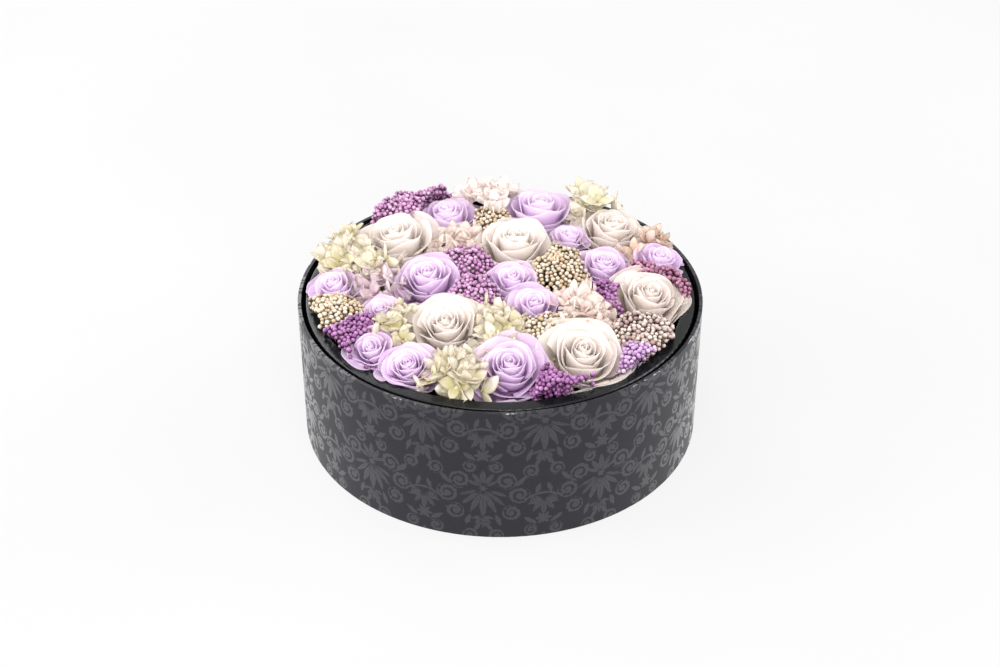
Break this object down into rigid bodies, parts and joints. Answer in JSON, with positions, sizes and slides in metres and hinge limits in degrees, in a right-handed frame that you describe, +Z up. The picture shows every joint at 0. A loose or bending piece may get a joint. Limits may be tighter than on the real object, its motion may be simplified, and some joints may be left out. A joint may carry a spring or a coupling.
{
  "type": "round flower box",
  "caption": "Low round paper-covered box with a tone-on-tone damask wall and a lift-out tray, planted full of preserved roses, rice flower and hydrangea.",
  "frame": {"origin": "centre of the box's underside", "axes": "+Z up out of the open mouth, -Y towards the viewer of the picture, +X to the viewer's right"},
  "size_m": [0.24, 0.24, 0.1083],
  "materials": {
    "damask_paper": "matte charcoal with a satin tone-on-tone damask print",
    "greyboard": "raw greyboard",
    "black_paper": "matte black",
    "black_board": "matte dark grey board",
    "floral_foam": "dry floral foam, dull green",
    "anchor_plastic": "green moulded plastic",
    "adhesive_pad": "putty pad",
    "stem_wire": "green florist's wire",
    "cream_petal": "soft matte preserved petal, warm cream",
    "lilac_petal": "soft matte preserved petal, lilac",
    "cream_rice_flower": "dried buds, cream",
    "purple_rice_flower": "dried buds, plum purple",
    "pink_hydrangea": "dried sepals, dusky pink beige",
    "green_hydrangea": "dried sepals, pale yellow-green"
  },
  "bodies": {
    "box": {"box_wall": "greyboard", "box_base": "greyboard", "damask_wrap": "damask_paper", "base_cover": "black_paper", "wall_lining": "black_paper", "floor_lining": "black_paper"},
    "tray": {"tray_wall": "black_board", "tray_floor": "black_board", "tray_collar": "black_board", "foam_disc": "floral_foam", "foam_anchors": "anchor_plastic", "anchor_pads": "adhesive_pad", "rose_wires": "stem_wire", "filler_wires": "stem_wire", "cream_rose_1": "cream_petal", "cream_rose_2": "cream_petal", "cream_rose_3": "cream_petal", "cream_rose_4": "cream_petal", "cream_rose_5": "cream_petal", "cream_rose_6": "cream_petal", "lilac_rose_1": "lilac_petal", "lilac_rose_2": "lilac_petal", "lilac_rose_3": "lilac_petal", "lilac_rose_4": "lilac_petal", "lilac_rose_5": "lilac_petal", "lilac_rose_6": "lilac_petal", "lilac_rose_7": "lilac_petal", "lilac_rose_8": "lilac_petal", "lilac_rose_9": "lilac_petal", "lilac_rose_10": "lilac_petal", "lilac_rose_11": "lilac_petal", "lilac_rose_12": "lilac_petal", "lilac_rose_13": "lilac_petal", "rice_flower_1": "purple_rice_flower", "rice_flower_2": "cream_rice_flower", "rice_flower_3": "purple_rice_flower", "rice_flower_4": "purple_rice_flower", "rice_flower_5": "cream_rice_flower", "rice_flower_6": "purple_rice_flower", "rice_flower_7": "purple_rice_flower", "rice_flower_8": "cream_rice_flower", "rice_flower_9": "cream_rice_flower", "rice_flower_10": "purple_rice_flower", "rice_flower_11": "purple_rice_flower", "rice_flower_12": "cream_rice_flower", "rice_flower_13": "purple_rice_flower", "hydrangea_1": "green_hydrangea", "hydrangea_2": "pink_hydrangea", "hydrangea_3": "pink_hydrangea", "hydrangea_4": "green_hydrangea", "hydrangea_5": "pink_hydrangea", "hydrangea_6": "pink_hydrangea", "hydrangea_7": "pink_hydrangea", "hydrangea_8": "green_hydrangea", "hydrangea_9": "green_hydrangea", "hydrangea_10": "green_hydrangea"}
  },
  "joints": [
    {"name": "tray_lift", "type": "slide", "parent": "box", "child": "tray", "axis": [0, 0, 1], "range_m": [0, 0.09]}
  ]
}
